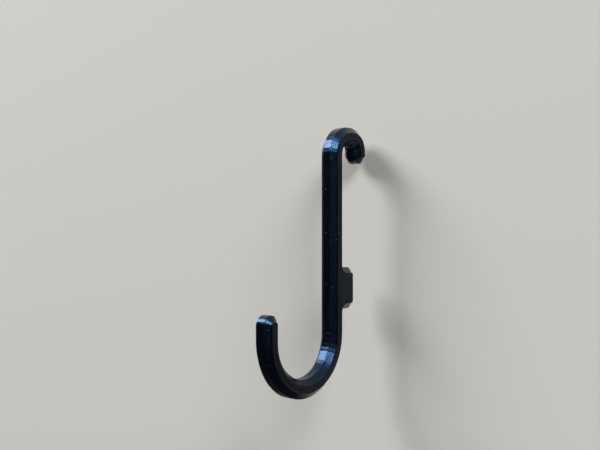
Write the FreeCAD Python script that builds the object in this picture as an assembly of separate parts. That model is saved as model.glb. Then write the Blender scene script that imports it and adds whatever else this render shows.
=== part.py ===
import FreeCAD
import Part
import math
import os

# all sizes in mm; X across the hook, +Y the way its pegs point, +Z up
# sizes that the pegs are made to fit
board_thickness = 5.0
slot_width = 5.0
slot_length = 15.0
slot_pitch = 40.0

# the bar, printed lying on its side
slot_play = 0.2
bar_width = slot_width - slot_play
bar_thickness = 4.4
edge_chamfer = 1.35

# upper peg, with a catch that turns down at its end
board_clearance = 0.3
elbow_radius = 3.0
catch_radius = 1.0
catch_drop = 4.0
seat_lift = 0.5

# lower peg, kept low enough for the catch to be lifted out
lower_peg_clearance = 0.5
lower_peg_height = 10.0
lower_peg_length = board_thickness - lower_peg_clearance
lower_peg_radius = 2.0
root_radius = 0.8

# shank and open hook
shank_below_peg = 5.5
hook_radius = 9.55
tip_rise = 5.7

# levels and depths that follow from the sizes above
catch_front = board_thickness + board_clearance
catch_back = catch_front + bar_thickness
lower_slot_top = slot_length - seat_lift - slot_pitch
lift_out = catch_drop - seat_lift
lower_peg_top = lower_slot_top - lift_out - lower_peg_clearance
lower_peg_bottom = lower_peg_top - lower_peg_height
hook_back = -bar_thickness
hook_front = hook_back - 2 * hook_radius
tip_front = hook_front - bar_thickness
shank_end = lower_peg_bottom - shank_below_peg
inner_bottom = shank_end - hook_radius
outer_bottom = inner_bottom - bar_thickness
tip_top = shank_end + tip_rise
bar_half = bar_thickness / 2
bend_radius = hook_radius + bar_thickness

# side outline as square corners (y, z) with the radius that rounds each
corners = [
    (0, lower_peg_bottom, root_radius),
    (lower_peg_length, lower_peg_bottom, lower_peg_radius),
    (lower_peg_length, lower_peg_top, lower_peg_radius),
    (0, lower_peg_top, root_radius),
    (0, 0, elbow_radius),
    (catch_front, 0, catch_radius),
    (catch_front, -catch_drop, bar_half),
    (catch_back, -catch_drop, bar_half),
    (catch_back, bar_thickness, catch_radius + bar_thickness),
    (-bar_thickness, bar_thickness, elbow_radius + bar_thickness),
    (hook_back, inner_bottom, hook_radius),
    (hook_front, inner_bottom, hook_radius),
    (hook_front, tip_top, bar_half),
    (tip_front, tip_top, bar_half),
    (tip_front, outer_bottom, bend_radius),
    (0, outer_bottom, bend_radius),
]


def at(y, z):
    return FreeCAD.Vector(-bar_width / 2, y, z)


def towards(start, end):
    return (end - start).normalize()


def rounded_outline(corners):
    points = [at(y, z) for y, z, radius in corners]
    arcs = []
    for i, (y, z, radius) in enumerate(corners):
        corner = points[i]
        back = towards(corner, points[i - 1])
        ahead = towards(corner, points[(i + 1) % len(points)])
        centre = corner + (back + ahead) * radius
        middle = centre - (back + ahead) * (radius / math.sqrt(2))
        arcs.append((corner + back * radius, middle, corner + ahead * radius))
    edges = []
    for i, (start, middle, end) in enumerate(arcs):
        last_end = arcs[i - 1][2]
        if last_end.distanceToPoint(start) > 0.001:
            edges.append(Part.makeLine(last_end, start))
            edges.append(Part.Arc(start, middle, end).toShape())
        else:
            edges.append(Part.Arc(last_end, middle, end).toShape())
    return Part.Wire(Part.__sortEdges__(edges))


outline = rounded_outline(corners)
bar = Part.Face(outline).extrude(FreeCAD.Vector(bar_width, 0, 0))

# the long edges of both sides are chamfered all the way round
side_edges = [edge for edge in bar.Edges if edge.BoundBox.XLength < 0.001]
hook = bar.makeChamfer(edge_chamfer, side_edges)

os.makedirs("parts", exist_ok=True)
hook.exportStep("parts/hook.step")
box = hook.BoundBox
print("hook valid", hook.isValid(), "solids", len(hook.Solids), "volume", round(hook.Volume, 1))
print("hook size", round(box.XLength, 2), round(box.YLength, 2), round(box.ZLength, 2))
print("lower peg from", lower_peg_bottom, "to", lower_peg_top, "lower slot top", lower_slot_top)
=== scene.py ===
import bpy
import bmesh
import math
import random
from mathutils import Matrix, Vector


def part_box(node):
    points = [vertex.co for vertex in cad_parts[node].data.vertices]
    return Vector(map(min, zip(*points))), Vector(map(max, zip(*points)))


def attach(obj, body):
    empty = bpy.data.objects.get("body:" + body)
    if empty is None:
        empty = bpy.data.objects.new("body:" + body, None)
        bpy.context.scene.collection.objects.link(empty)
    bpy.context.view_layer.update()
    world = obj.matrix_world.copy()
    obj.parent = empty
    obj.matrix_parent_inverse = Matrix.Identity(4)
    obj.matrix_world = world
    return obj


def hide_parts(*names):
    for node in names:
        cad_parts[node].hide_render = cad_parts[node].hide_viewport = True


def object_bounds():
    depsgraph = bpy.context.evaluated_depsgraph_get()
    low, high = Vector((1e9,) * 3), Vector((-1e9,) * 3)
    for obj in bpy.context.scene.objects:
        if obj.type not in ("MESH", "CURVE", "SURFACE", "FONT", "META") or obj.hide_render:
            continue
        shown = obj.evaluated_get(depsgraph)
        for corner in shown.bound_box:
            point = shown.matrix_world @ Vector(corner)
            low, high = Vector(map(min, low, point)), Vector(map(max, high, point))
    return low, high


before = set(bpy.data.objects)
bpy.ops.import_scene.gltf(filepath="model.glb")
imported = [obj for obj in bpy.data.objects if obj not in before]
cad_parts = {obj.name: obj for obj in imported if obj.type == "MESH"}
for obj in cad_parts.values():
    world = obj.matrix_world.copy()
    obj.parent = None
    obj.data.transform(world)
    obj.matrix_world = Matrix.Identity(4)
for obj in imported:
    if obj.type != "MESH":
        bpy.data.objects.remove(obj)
cadLow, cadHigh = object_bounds()
mm = 0.001
near = 2e-6  # two points closer than this are one


class Wire:
    # a shader socket that takes + - * / < > with numbers and other wires
    def __init__(self, tree, socket):
        self.tree = tree
        self.socket = socket

    def node(self, kind, settings=None, **sockets):
        # a socket goes by its name, with _ for a space, or by its number, as in i0
        made = self.tree.nodes.new(kind)
        for key, value in (settings or {}).items():
            setattr(made, key, value)
        for key, value in sockets.items():
            numbered = key[0] == "i" and key[1:].isdigit()
            plug = made.inputs[int(key[1:]) if numbered else key.replace("_", " ")]
            if isinstance(value, Wire):
                self.tree.links.new(value.socket, plug)
            else:
                plug.default_value = value
        return made

    def out(self, made, name=0):
        return Wire(self.tree, made.outputs[name])

    def math(self, operation, *values, clamp=False):
        settings = {"operation": operation, "use_clamp": clamp}
        numbered = {"i%d" % i: value for i, value in enumerate(values)}
        return self.out(self.node("ShaderNodeMath", settings, **numbered))

    def ramp(self, start, gain):
        # goes from 0 at start to 1, and stays between them
        return self.math("MULTIPLY", self - start, gain, clamp=True)

    def __add__(self, other):
        return self.math("ADD", self, other)

    def __radd__(self, other):
        return self.math("ADD", other, self)

    def __sub__(self, other):
        return self.math("SUBTRACT", self, other)

    def __rsub__(self, other):
        return self.math("SUBTRACT", other, self)

    def __mul__(self, other):
        return self.math("MULTIPLY", self, other)

    def __rmul__(self, other):
        return self.math("MULTIPLY", other, self)

    def __truediv__(self, other):
        return self.math("DIVIDE", self, other)

    def __rtruediv__(self, other):
        return self.math("DIVIDE", other, self)

    def __lt__(self, other):
        return self.math("LESS_THAN", self, other)

    def __gt__(self, other):
        return self.math("GREATER_THAN", self, other)


def freshMaterial(name):
    mat = bpy.data.materials.new(name)
    mat.use_nodes = True
    tree = mat.node_tree
    tree.nodes.clear()
    return mat, Wire(tree, None)


def mixColour(w, factor, low, high):
    made = w.node("ShaderNodeMix", {"data_type": "RGBA"}, i0=factor, i6=low, i7=high)
    return w.out(made, 2)


def noise(w, place, scale, detail, roughness=0.5):
    made = w.node("ShaderNodeTexNoise", Vector=place, Scale=scale, Detail=detail, Roughness=roughness)
    return w.out(made, "Fac")


# the bar as it was printed, lying on its side: layers are stacked across the width, sizes in mm
printed = {
    "chamfer": 1.35,
    "elbowRadius": 3.0,
    "catchRadius": 1.0,
    "catchDrop": 4.0,
    "tipRise": 5.7,
    "layers": 16,
    "valley": 0.014,  # depth of the line between two layers
    "shoulder": 0.003,  # how far a layer rounds off beside its crest
    "jitter": 0.005,  # how unevenly the layers lie
    "seed": 11,
    "lip": 0.35,  # width of the lip at the chamfer's outer edge
    "lipRise": 0.12,
    "sideLines": 4,  # printed lines across a side face
    "lineValley": 0.035,
    "midValley": 0.08,  # the groove in the middle is deeper
    "smoothAngle": 4,  # degrees
    "legSteps": 3,
    "jSteps": 28,
    "tipSteps": 2,
    "endSteps": 22,
    "pegSteps": 4,
    "smallSteps": 8,
    "shankSteps": 16,
    "elbowSteps": 12,
}
# the lower peg that stands out of the shank's back, in mm
lowerPeg = {"top": -29.5, "height": 10.0, "length": 4.5, "radius": 2.0, "root": 0.8}

boxLow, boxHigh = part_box("hook")
barWidth = boxHigh[0] - boxLow[0]
barThick = boxHigh[2]
hookRadius = (-boxLow[1] - 2 * barThick) / 2
shankEnd = boxLow[2] + hookRadius + barThick
hookMiddle = -barThick - hookRadius
catchFront = boxHigh[1] - barThick
pegTop = lowerPeg["top"] * mm
pegBottom = pegTop - lowerPeg["height"] * mm
pegLength = lowerPeg["length"] * mm
pegRadius = lowerPeg["radius"] * mm
pegRoot = lowerPeg["root"] * mm
ringLow = pegBottom - pegRoot
ringHigh = pegTop + pegRoot


def editMesh():
    return bmesh.from_edit_mesh(bpy.context.edit_object.data)


def pick(test):
    # select the points that pass a test, with the edges between them
    bpy.ops.mesh.select_all(action="DESELECT")
    bm = editMesh()
    for v in bm.verts:
        v.select = bool(test(v.co))
    bm.select_flush_mode()
    bmesh.update_edit_mesh(bpy.context.edit_object.data)


def pickRim(test):
    # select the open edges whose points pass a test
    bpy.ops.mesh.select_all(action="DESELECT")
    bm = editMesh()
    for e in bm.edges:
        if len(e.link_faces) == 1 and all(test(v.co) for v in e.verts):
            e.select_set(True)
    bmesh.update_edit_mesh(bpy.context.edit_object.data)


def pull(y=0, z=0, steps=1):
    move = {"value": (0, y / steps, z / steps)}
    for step in range(steps):
        bpy.ops.mesh.extrude_region_move(TRANSFORM_OT_translate=move)


def turn(y, z, degrees, steps):
    # spin counts its angle clockwise
    bpy.ops.mesh.spin(steps=steps, angle=math.radians(-degrees), center=(0, y, z), axis=(1, 0, 0))


def roundEnd(y, z, degrees):
    # half the ring swings over and meets the other half
    pick(lambda p: abs(p.z - z) < near and -near < p.y - y < barThick / 2 + near)
    turn(y, z, degrees, printed["endSteps"])


def joinDoubles():
    bpy.ops.mesh.select_all(action="SELECT")
    bpy.ops.mesh.remove_doubles(threshold=near)


ridgeParts = 4  # a ridge has a valley, a shoulder, its crest and a shoulder
crestPart = 2


def plainRing(middle, level):
    # an open rectangle with enough points for every ridge
    bpy.ops.object.select_all(action="DESELECT")
    bpy.ops.mesh.primitive_plane_add(size=1, enter_editmode=True, location=(0, 0, 0))
    bpy.ops.mesh.select_mode(type="VERT")
    bpy.ops.transform.resize(value=(barWidth, barThick, 1))
    bpy.ops.transform.translate(value=(0, middle, level))
    bpy.ops.mesh.delete(type="ONLY_FACE")
    for side in (-1, 1):
        pick(lambda p: abs(p.y - middle - side * barThick / 2) < near)
        bpy.ops.mesh.subdivide(number_cuts=ridgeParts * printed["layers"] - 1)
    for side in (-1, 1):
        pick(lambda p: abs(p.x - side * barWidth / 2) < near)
        bpy.ops.mesh.subdivide(number_cuts=ridgeParts * printed["sideLines"] - 1)


def grooveSides(middle, level):
    # side faces are narrower by the chamfers, with grooves between the printed lines
    lines = printed["sideLines"]
    flat = barThick - 2 * printed["chamfer"] * mm
    pick(lambda p: abs(abs(p.x) - barWidth / 2) < near)
    bpy.ops.transform.resize(value=(1, flat / barThick, 1), center_override=(0, middle, level))
    lineWidth = flat / lines
    for i in range(1, lines):
        groove = middle - flat / 2 + i * lineWidth
        deep = printed["midValley" if 2 * i == lines else "lineValley"] * mm
        for side in (-1, 1):
            pick(lambda p: abs(p.x - side * barWidth / 2) < near and abs(p.y - groove) < near)
            bpy.ops.transform.translate(value=(-side * deep, 0, 0))


def layerInset(x):
    # the chamfer ends in a low lip, where the first layers were laid
    chamfer, lip, rise = (printed[key] * mm for key in ("chamfer", "lip", "lipRise"))
    fromSide = barWidth / 2 - abs(x)
    if fromSide < lip:
        return chamfer - rise * fromSide / lip
    return max(0.0, (chamfer - rise) * (chamfer - fromSide) / (chamfer - lip))


def ridgeLayers(middle, level):
    # the front and back walls step in and out with each layer, and follow the chamfers
    layers = printed["layers"]
    rng = random.Random(printed["seed"])
    thick = barWidth / layers
    uneven = [abs(rng.gauss(0, printed["jitter"] * mm)) for i in range(layers)]
    for i in range(1, ridgeParts * layers):
        layer, part = divmod(i, ridgeParts)
        sunk = uneven[layer]
        if part == 0:
            sunk = max(uneven[layer - 1], uneven[layer]) + printed["valley"] * mm
        elif part != crestPart:
            sunk += printed["shoulder"] * mm
        x = -barWidth / 2 + i * thick / ridgeParts
        reach = barThick / 2 - layerInset(x) - sunk
        pick(lambda p: abs(p.x - x) < near and abs(abs(p.y - middle) - barThick / 2) < near)
        bpy.ops.transform.resize(value=(1, reach / (barThick / 2), 1), center_override=(0, middle, level))


def sectionRing(level):
    middle = -barThick / 2
    plainRing(middle, level)
    grooveSides(middle, level)
    ridgeLayers(middle, level)
    print("section ring")


def onRing(p):
    # the first ring, just under the lower peg
    return abs(p.z - ringLow) < near and p.y > -barThick - near


def makeJ():
    # down the shank, round the J and up to the tip
    pick(onRing)
    pull(z=shankEnd - ringLow, steps=printed["legSteps"])
    turn(hookMiddle, shankEnd, -180, printed["jSteps"])
    tipLeg = printed["tipRise"] * mm - barThick / 2
    pull(z=tipLeg, steps=printed["tipSteps"])
    tipMiddle = hookMiddle - hookRadius - barThick / 2
    roundEnd(tipMiddle, shankEnd + tipLeg, 180)
    print("J and tip")


def makeLowerPeg():
    # the front of the bar goes straight up, and its back goes round the peg
    chamfer = printed["chamfer"] * mm
    corner = printed["smallSteps"]
    straight = pegLength - pegRadius - pegRoot
    pick(lambda p: onRing(p) and p.y < -chamfer + near)
    pull(z=ringHigh - ringLow, steps=printed["pegSteps"])
    pick(lambda p: onRing(p) and p.y > -chamfer - near)
    turn(pegRoot, ringLow, -90, corner)
    pull(y=straight)
    turn(pegLength - pegRadius, pegBottom + pegRadius, 90, corner)
    pull(z=pegTop - pegBottom - 2 * pegRadius)
    turn(pegLength - pegRadius, pegTop - pegRadius, 90, corner)
    pull(y=-straight)
    turn(pegRoot, ringHigh, -90, corner)
    joinDoubles()
    print("lower peg")


def makeUpperPeg():
    # up the shank, over the elbow, back along the peg and down its catch
    elbow = printed["elbowRadius"] * mm
    catch = printed["catchRadius"] * mm
    pick(lambda p: abs(p.z - ringHigh) < near and -barThick - near < p.y < near)
    pull(z=-elbow - ringHigh, steps=printed["shankSteps"])
    turn(elbow, -elbow, -90, printed["elbowSteps"])
    pull(y=catchFront - catch - elbow)
    turn(catchFront - catch, -catch, -90, printed["elbowSteps"])
    catchLeg = printed["catchDrop"] * mm - catch - barThick / 2
    pull(z=-catchLeg)
    roundEnd(catchFront + barThick / 2, -catch - catchLeg, -180)
    joinDoubles()
    print("upper peg")


def makeHook():
    sectionRing(ringLow)
    makeJ()
    makeLowerPeg()
    makeUpperPeg()
    # the lower peg's two flat sides are still open
    for side in (-1, 1):
        pickRim(lambda p: p.x * side > 0)
        bpy.ops.mesh.edge_face_add()
    bpy.ops.mesh.select_all(action="SELECT")
    bpy.ops.mesh.normals_make_consistent(inside=False)
    print("open edges", sum(len(e.link_faces) != 2 for e in editMesh().edges))
    bpy.ops.object.mode_set(mode="OBJECT")
    hook = bpy.context.object
    hook.name = hook.data.name = "printed_hook"
    bpy.ops.object.shade_smooth_by_angle(angle=math.radians(printed["smoothAngle"]))
    print("hook faces", len(hook.data.polygons))
    return hook


# black filament: nearly black, satin, with streaks along the printed lines and a little dust; its
# reflections are tinted blue, a painted reflection of sky light
filament = {
    "dark": (0.0004, 0.0009, 0.0018, 1),
    "light": (0.0026, 0.0034, 0.0050, 1),
    "toneStart": 0.35,  # streak value that is still dark
    "toneGain": 3.3,
    "roughness": 0.20,
    "roughSpread": 0.40,
    "streakShare": 0.4,  # what makes the roughness uneven
    "grainShare": 0.4,
    "cloudShare": 0.2,
    "specular": 0.68,
    # painted reflection colour: the blue of sky light, tinted into every reflection
    "paintedSkyTint": (0.16, 0.44, 1.0, 1),
    "coat": 0.13,
    "coatRoughness": 0.06,
    "streakWidth": 0.35,  # sizes of the patterns in mm
    "streakLength": 7.0,
    "streakDepth": 0.006,
    "streakDetail": 3.0,
    "streakBreak": 0.6,
    "rippleWidth": 5.0,
    "rippleLength": 0.9,
    "rippleDepth": 0.075,
    "rippleDetail": 2.0,
    "rippleStart": 7.9,
    "grainSize": 0.30,
    "grainDepth": 0.010,
    "grainDetail": 2.0,
    "cloudSize": 4.0,
    "cloudDetail": 3.0,
    "dust": (0.16, 0.17, 0.18, 1),
    "dustCell": 1.1,
    "dustSize": 0.08,  # share of a cell
    "dustCloud": 0.5,  # dust lies only where the cloud is above this
    "dustRoughness": 0.4,
}
# the two side faces lay flat when it was printed, and are duller; their weaker reflection is also painted
# shade, for the shade they would mirror beside the hook
sideFace = {
    "dark": (0.0003, 0.0004, 0.0006, 1),
    "light": (0.0056, 0.0066, 0.0080, 1),
    "roughness": 0.45,
    "roughSpread": 0.3,
    # painted shade: a weak reflection on the side faces
    "specular": 0.20,
    # painted reflection colour: the blue of sky light, tinted into the side faces' reflections
    "paintedSkyTint": (0.60, 0.78, 1.0, 1),
    "skin": 0.10,  # how deep a side face reaches, in mm
}
noiseMiddle = 0.5


def barAxes(w, place):
    # x across the bar, depth from its inner to its outer face, path along it, also round the J
    axes = w.node("ShaderNodeSeparateXYZ", i0=place)
    x, y, z = (w.out(axes, i) for i in range(3))
    dy, dz = y - hookMiddle, z - shankEnd
    below, tipSide = z < shankEnd, y < hookMiddle
    bend = hookRadius + barThick / 2
    around = w.math("ARCTAN2", dz, dy) * bend
    upright = tipSide * (-math.pi * bend - dz) + (1 - tipSide) * dz
    path = below * around + (1 - below) * upright
    radial = w.math("SQRT", dy * dy + dz * dz)
    depth = below * radial + (1 - below) * w.math("ABSOLUTE", dy)
    return x, depth, path


def barPlace(w, axes, width, length, start=0.0):
    # a place on the bar, counted in widths and lengths of a pattern
    x, depth, path = axes
    made = w.node("ShaderNodeCombineXYZ", i0=x / width, i1=depth / width, i2=path / length + start)
    return w.out(made)


def filamentMaterial():
    mat, w = freshMaterial("black_filament")
    place = w.out(w.node("ShaderNodeTexCoord"), "Object")
    axes = barAxes(w, place)
    side = w.math("ABSOLUTE", axes[0]) > barWidth / 2 - sideFace["skin"] * mm
    along = barPlace(w, axes, filament["streakWidth"] * mm, filament["streakLength"] * mm)
    streak = noise(w, along, 1.0, filament["streakDetail"], filament["streakBreak"])
    over = barPlace(w, axes, filament["rippleWidth"] * mm, filament["rippleLength"] * mm,
                    filament["rippleStart"])
    ripple = noise(w, over, 1.0, filament["rippleDetail"])
    grain = noise(w, place, 1 / (filament["grainSize"] * mm), filament["grainDetail"])
    cloud = noise(w, place, 1 / (filament["cloudSize"] * mm), filament["cloudDetail"])
    cellScale = 1 / (filament["dustCell"] * mm)
    cells = w.out(w.node("ShaderNodeTexVoronoi", Vector=place, Scale=cellScale), "Distance")
    speck = (cells < filament["dustSize"]) * (cloud > filament["dustCloud"])
    # bumps: streaks and grain all over, ripples on the front and back only
    height = streak * (filament["streakDepth"] * mm) + grain * (filament["grainDepth"] * mm)
    height = height + ripple * (1 - side) * (filament["rippleDepth"] * mm)
    bump = w.out(w.node("ShaderNodeBump", Strength=1.0, Distance=1.0, Height=height))
    tone = streak.ramp(filament["toneStart"], filament["toneGain"])
    mixed = streak * filament["streakShare"] + grain * filament["grainShare"]
    mixed = mixed + cloud * filament["cloudShare"]
    rough = filament["roughness"] + (mixed - noiseMiddle) * filament["roughSpread"]
    body = mixColour(w, tone, filament["dark"], filament["light"])
    satin = w.node("ShaderNodeBsdfPrincipled",
                   Base_Color=mixColour(w, speck, body, filament["dust"]),
                   Roughness=rough + speck * filament["dustRoughness"], Normal=bump,
                   Specular_IOR_Level=filament["specular"], Specular_Tint=filament["paintedSkyTint"],
                   Coat_Weight=filament["coat"], Coat_Roughness=filament["coatRoughness"])
    matte = mixColour(w, tone, sideFace["dark"], sideFace["light"])
    # the side faces: rougher, with a weaker reflection that is painted shade
    dullShadedSide = w.node("ShaderNodeBsdfPrincipled",
                  Base_Color=mixColour(w, speck, matte, filament["dust"]),
                  Roughness=sideFace["roughness"] + (tone - noiseMiddle) * sideFace["roughSpread"],
                  Normal=bump, Specular_IOR_Level=sideFace["specular"], Specular_Tint=sideFace["paintedSkyTint"])
    both = w.node("ShaderNodeMixShader", i0=side, i1=w.out(satin), i2=w.out(dullShadedSide))
    w.node("ShaderNodeOutputMaterial", Surface=w.out(both))
    return mat


hook = makeHook()
hook.data.materials.append(filamentMaterial())
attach(hook, "root")
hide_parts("hook")
print("hook dressed")


# pale sheet that hangs behind the hook and runs out below as a floor, in metres
studio = {
    "colour": (0.66, 0.605, 0.525, 1),
    # painted shade: the sheet is this dark to bounced light, and where its low part is mirrored
    "dim": (0.07, 0.065, 0.06, 1),  # for bounced light, and where its low part is mirrored
    "shade": -0.09,  # the low part ends at this height
    "fade": 40.0,  # per metre above it
    "behind": 0.0105,
    "top": 0.5,
    "floor": -1.0,
    "curve": 0.08,
    "curveSteps": 24,
    "width": 1.6,
    "length": 0.8,
}


def studioMaterial():
    # seen from behind the sheet is clear, so that it never hides the hook
    mat, w = freshMaterial("studio_paper")
    back = w.out(w.node("ShaderNodeNewGeometry"), "Backfacing")
    rays = w.node("ShaderNodeLightPath")
    seen = w.out(rays, "Is Camera Ray")
    mirrored = w.math("MAXIMUM", w.out(rays, "Is Glossy Ray"), w.out(rays, "Is Transmission Ray"))
    place = w.node("ShaderNodeSeparateXYZ", i0=w.out(w.node("ShaderNodeTexCoord"), "Object"))
    upright = w.out(place, 2).ramp(studio["shade"], studio["fade"])
    # reflections of the sheet's low part take the dim tone: painted shade
    pale = w.math("MAXIMUM", seen, mirrored * upright)
    colour = mixColour(w, pale, studio["dim"], studio["colour"])
    paper = w.out(w.node("ShaderNodeBsdfDiffuse", Color=colour))
    clear = w.out(w.node("ShaderNodeBsdfTransparent"))
    sheet = w.node("ShaderNodeMixShader", i0=back * seen, i1=paper, i2=clear)
    w.node("ShaderNodeOutputMaterial", Surface=w.out(sheet))
    return mat


def makeStudio():
    # one edge of a plane is drawn down, round a curve and out along the floor
    planeHalf = 0.5
    curveY = studio["behind"] - studio["curve"]
    curveZ = studio["floor"] + studio["curve"]
    bpy.ops.object.select_all(action="DESELECT")
    bpy.ops.mesh.primitive_plane_add(size=2 * planeHalf, enter_editmode=True, location=(0, 0, 0))
    bpy.ops.mesh.select_mode(type="VERT")
    bpy.ops.mesh.delete(type="ONLY_FACE")
    pick(lambda p: p.y < 0)
    bpy.ops.mesh.delete(type="VERT")
    bpy.ops.mesh.select_all(action="SELECT")
    bpy.ops.transform.resize(value=(studio["width"], 1, 1))
    bpy.ops.transform.translate(value=(0, studio["behind"] - planeHalf, studio["top"]))
    pull(z=curveZ - studio["top"])
    turn(curveY, curveZ, -90, studio["curveSteps"])
    pull(y=-studio["length"])
    bpy.ops.object.mode_set(mode="OBJECT")
    sheet = bpy.context.object
    sheet.name = sheet.data.name = "studio_sheet"
    floor = max(sheet.data.polygons, key=lambda face: abs(face.normal.z))
    if floor.normal.z < 0:
        sheet.data.flip_normals()
    sheet.data.materials.append(studioMaterial())
    bpy.ops.object.shade_smooth()


makeStudio()
print("studio")


# a soft box on each side, and a dim room with a paler ceiling
lighting = {
    "boxes": [
        {"name": "left_box", "azimuth": -54, "elevation": 40, "width": 1.1, "height": 0.75, "power": 46.0},
        {"name": "right_box", "azimuth": 61, "elevation": 38, "width": 0.9, "height": 0.85, "power": 38.0},
    ],
    "distance": 2.0,
    "colour": (0.90, 0.95, 1.0),
    "room": (0.020, 0.026, 0.034, 1),
    "right": (0.17, 0.145, 0.135, 1),  # the room is lighter on the right
    "rightStart": 0.6,
    "rightGain": 5.0,
    "ceiling": (0.40, 0.54, 0.76, 1),
    "ceilingStart": 0.35,
    "ceilingGain": 2.2,
    "low": (0.03, 0.03, 0.03, 1),
    "lowStart": 0.0,
    "lowGain": -2.0,
    "backdrop": (0.56, 0.552, 0.515, 1),
}


def softBox(name, azimuth, elevation, width, height, power):
    data = bpy.data.lights.new(name, "AREA")
    data.shape = "RECTANGLE"
    data.size = width
    data.size_y = height
    data.energy = power
    data.color = lighting["colour"]
    box = bpy.data.objects.new(name, data)
    bpy.context.collection.objects.link(box)
    side, rise = math.radians(azimuth), math.radians(elevation)
    away = Vector((math.sin(side) * math.cos(rise), -math.cos(side) * math.cos(rise), math.sin(rise)))
    box.location = (cadLow + cadHigh) / 2 + away * lighting["distance"]
    box.rotation_euler = away.to_track_quat("Z", "Y").to_euler()


def makeRoom():
    world = bpy.data.worlds.new("room")
    bpy.context.scene.world = world
    world.use_nodes = True
    world.node_tree.nodes.clear()
    w = Wire(world.node_tree, None)
    direction = w.node("ShaderNodeSeparateXYZ", i0=w.out(w.node("ShaderNodeTexCoord"), "Generated"))
    across, height = w.out(direction, 0), w.out(direction, 2)
    right = across.ramp(lighting["rightStart"], lighting["rightGain"])
    upper = height.ramp(lighting["ceilingStart"], lighting["ceilingGain"])
    lower = height.ramp(lighting["lowStart"], lighting["lowGain"])
    room = mixColour(w, right, lighting["room"], lighting["right"])
    room = mixColour(w, upper, room, lighting["ceiling"])
    room = mixColour(w, lower, room, lighting["low"])
    seen = w.out(w.node("ShaderNodeLightPath"), "Is Camera Ray")
    colour = mixColour(w, seen, room, lighting["backdrop"])
    background = w.node("ShaderNodeBackground", Color=colour, Strength=1.0)
    w.node("ShaderNodeOutputWorld", Surface=w.out(background))


for box in lighting["boxes"]:
    softBox(**box)
makeRoom()
print("lights")


# the camera stands to the right of the hook, level with the middle of its shank
camera = {
    "place": (0.1058, -0.1460, -0.0251),
    "pitch": 90,  # level
    "yaw": 38.79,
    "lens": 44.82,
    "sensor": 36,
    "shiftY": 0.0398,
    "clipStart": 0.005,
    "clipEnd": 10,
}


def makeCamera():
    data = bpy.data.cameras.new("camera")
    data.lens = camera["lens"]
    data.sensor_width = camera["sensor"]
    data.shift_y = camera["shiftY"]
    data.clip_start = camera["clipStart"]
    data.clip_end = camera["clipEnd"]
    cam = bpy.data.objects.new("camera", data)
    cam.location = camera["place"]
    cam.rotation_euler = (math.radians(camera["pitch"]), 0, math.radians(camera["yaw"]))
    bpy.context.collection.objects.link(cam)
    bpy.context.scene.camera = cam


makeCamera()
bpy.context.scene.view_settings.view_transform = "Standard"
print("camera")
